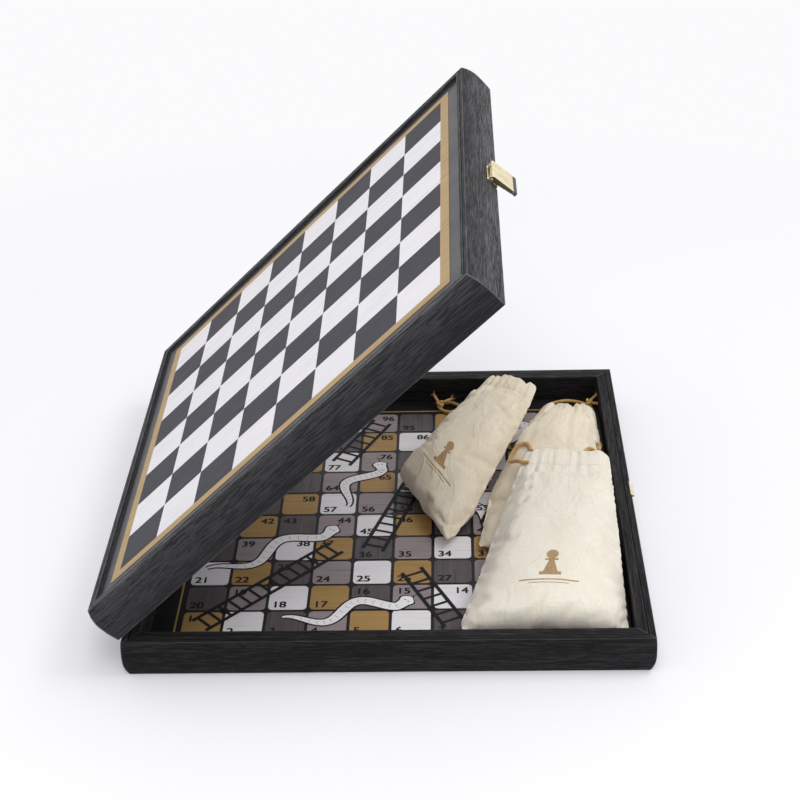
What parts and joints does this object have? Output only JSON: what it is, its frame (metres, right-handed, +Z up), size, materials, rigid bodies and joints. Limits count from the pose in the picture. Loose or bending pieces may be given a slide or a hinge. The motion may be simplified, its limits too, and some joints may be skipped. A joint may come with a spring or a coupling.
{
  "type": "games compendium box",
  "caption": "Hinged square games box in dark wood: a chess field outside, numbered squares inside, a brass clasp and drawstring pouches in the tray.",
  "frame": {"origin": "centre of the tray's footprint, on the surface that it stands on", "axes": "+X from the hinges to the clasp side, +Y from the viewer's side to the far side, +Z up"},
  "size_m": [0.2852, 0.27, 0.2249],
  "materials": {
    "black_wood": "black stained open grain, satin",
    "board": "black printed fibreboard, satin",
    "gold_print": "printed antique gold with fine wood grain",
    "white_print": "printed white with faint wood grain",
    "dark_print": "printed charcoal with wood grain",
    "grey_print": "printed warm grey with wood grain",
    "brass": "brushed brass",
    "black_plastic": "matt black",
    "cotton": "unbleached plain weave cotton",
    "cord": "waxed ochre string"
  },
  "bodies": {
    "tray": {"tray_front_rail": "black_wood", "tray_back_rail": "black_wood", "tray_hinge_rail": "black_wood", "tray_clasp_rail": "black_wood", "tray_board": "board", "numbered_gold_squares": "gold_print", "numbered_white_squares": "white_print", "numbered_dark_squares": "dark_print", "numbered_grey_squares": "grey_print", "numbered_gold_line": "gold_print", "backgammon_gold_points": "gold_print", "backgammon_white_points": "white_print", "backgammon_gold_line": "gold_print", "tray_catch": "brass", "tray_catch_screws": "brass", "front_hinge_tray_leaf": "brass", "back_hinge_tray_leaf": "brass", "hinge_pins": "brass", "tray_hinge_screws": "brass"},
    "lid": {"lid_front_rail": "black_wood", "lid_back_rail": "black_wood", "lid_hinge_rail": "black_wood", "lid_clasp_rail": "black_wood", "lid_board": "board", "chess_dark_squares": "dark_print", "chess_white_squares": "white_print", "chess_gold_border": "gold_print", "cross_gold_yard": "gold_print", "cross_white_yard": "white_print", "cross_dark_yard": "dark_print", "cross_grey_yard": "grey_print", "cross_track_squares": "white_print", "front_hinge_lid_leaf": "brass", "back_hinge_lid_leaf": "brass", "lid_hinge_screws": "brass", "clasp_plate": "brass", "clasp_plate_screws": "brass", "clasp_pin": "brass"},
    "clasp": {"clasp_flap": "brass", "clasp_tongue": "black_plastic"},
    "left_bag": {"left_pouch": "cotton", "left_pouch_string": "cord", "left_pouch_knot": "cord"},
    "back_bag": {"back_pouch": "cotton", "back_pouch_string": "cord", "back_pouch_knot": "cord"},
    "front_bag": {"front_pouch": "cotton", "front_pouch_left_string": "cord", "front_pouch_right_string": "cord", "front_pouch_knot": "cord"}
  },
  "joints": [
    {"name": "lid_hinge", "type": "hinge", "parent": "tray", "child": "lid", "pos_m": [-0.13686, 0, 0.022], "axis": [0, -1, 0], "range_deg": [-44, 136]},
    {"name": "clasp_hinge", "type": "hinge", "parent": "lid", "child": "clasp", "pos_m": [0.0554, 0, 0.21628], "axis": [0, -1, 0], "range_deg": [-6, 84]},
    {"name": "left_bag_lift", "type": "slide", "parent": "tray", "child": "left_bag", "axis": [0, 0, 1], "range_m": [0, 0.08]},
    {"name": "back_bag_lift", "type": "slide", "parent": "tray", "child": "back_bag", "axis": [0, 0, 1], "range_m": [0, 0.08]},
    {"name": "front_bag_lift", "type": "slide", "parent": "back_bag", "child": "front_bag", "axis": [0, 0, 1], "range_m": [0, 0.08]}
  ]
}
